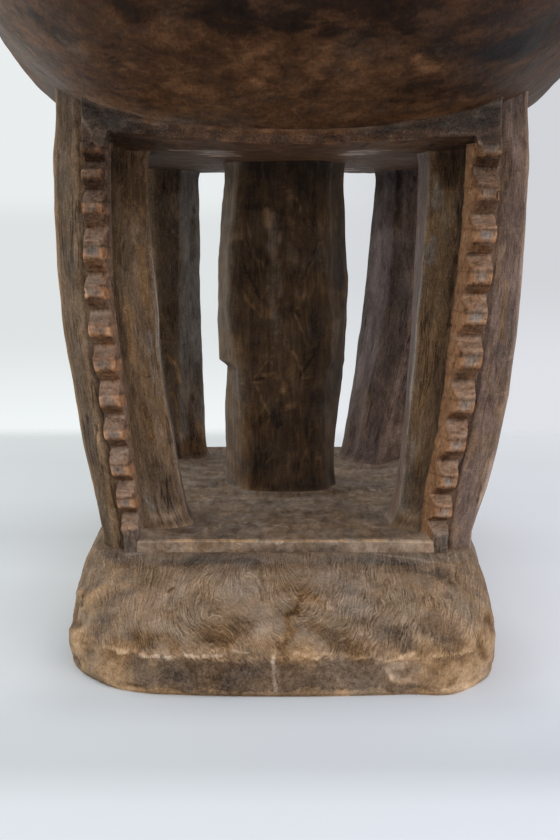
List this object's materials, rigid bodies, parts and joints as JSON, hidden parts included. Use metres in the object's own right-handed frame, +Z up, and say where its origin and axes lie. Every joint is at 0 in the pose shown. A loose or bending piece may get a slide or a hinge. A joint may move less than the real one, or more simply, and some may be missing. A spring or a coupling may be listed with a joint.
{
  "type": "ashanti stool",
  "caption": "One-log carved stool with a crescent seat on bowed corner legs with notched rails, a faceted centre column and a sloping base slab.",
  "frame": {"origin": "centre of the stool's bounding box at the floor, under the base slab", "axes": "+Z up, +Y along the length of the crescent seat away from the pictured end, +X to the right seen from that end"},
  "size_m": [0.285, 0.55, 0.342],
  "materials": {
    "end_grain_base": "dry sanded end grain with worn pale edges and grey dirt",
    "deck_wood": "tooled, dry, dusty",
    "leg_wood": "knife-cut facets with a dull handled patina",
    "rail_wood": "teeth worn to orange-tan at their corners, sooty in the notches",
    "column_wood": "dark, sooty, softly polished",
    "plate_wood": "light worn band over a dark soffit with a low gloss",
    "seat_wood": "dark mottled reddish brown with a waxy sheen"
  },
  "bodies": {
    "root": {"base_slab": "end_grain_base", "deck": "deck_wood", "front_left_leg": "leg_wood", "front_right_leg": "leg_wood", "back_left_leg": "leg_wood", "back_right_leg": "leg_wood", "front_left_rail": "rail_wood", "front_right_rail": "rail_wood", "back_left_rail": "rail_wood", "back_right_rail": "rail_wood", "centre_column": "column_wood", "top_plate": "plate_wood", "seat": "seat_wood"}
  },
  "joints": []
}
